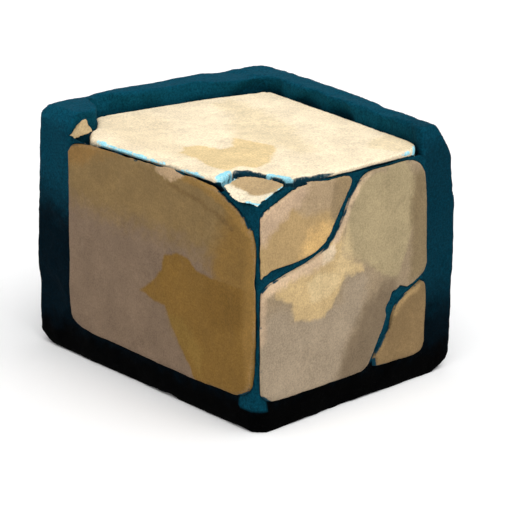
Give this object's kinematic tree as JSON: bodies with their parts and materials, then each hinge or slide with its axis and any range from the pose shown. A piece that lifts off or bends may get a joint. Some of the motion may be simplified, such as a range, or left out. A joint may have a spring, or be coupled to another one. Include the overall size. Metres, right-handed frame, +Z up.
{
  "type": "cracked sandstone block in host rock",
  "caption": "Squared block of cracked cream, tan and brown sandstone pieces held in a dark host rock that fills its joints and forms its base and rear walls.",
  "frame": {"origin": "middle of the flat underside of the host rock", "axes": "+Z up, the brown front face looks along -Y, the tan right face with its cracks looks along +X"},
  "size_m": [0.3168, 0.272, 0.236],
  "materials": {
    "host_rock": "fine dark blue-green rock, rough",
    "cream_sandstone": "fine-grained cream sandstone, matt",
    "tan_sandstone": "fine-grained tan sandstone, matt, lighter on worn edges",
    "brown_sandstone": "fine-grained brown sandstone, matt, lighter on worn edges"
  },
  "bodies": {
    "root": {"host_rock": "host_rock", "top_slab": "cream_sandstone", "front_block": "brown_sandstone", "right_upper_block": "tan_sandstone", "right_main_block": "tan_sandstone", "right_corner_block": "brown_sandstone", "front_corner_chip": "cream_sandstone", "left_corner_chip": "tan_sandstone"}
  },
  "joints": []
}
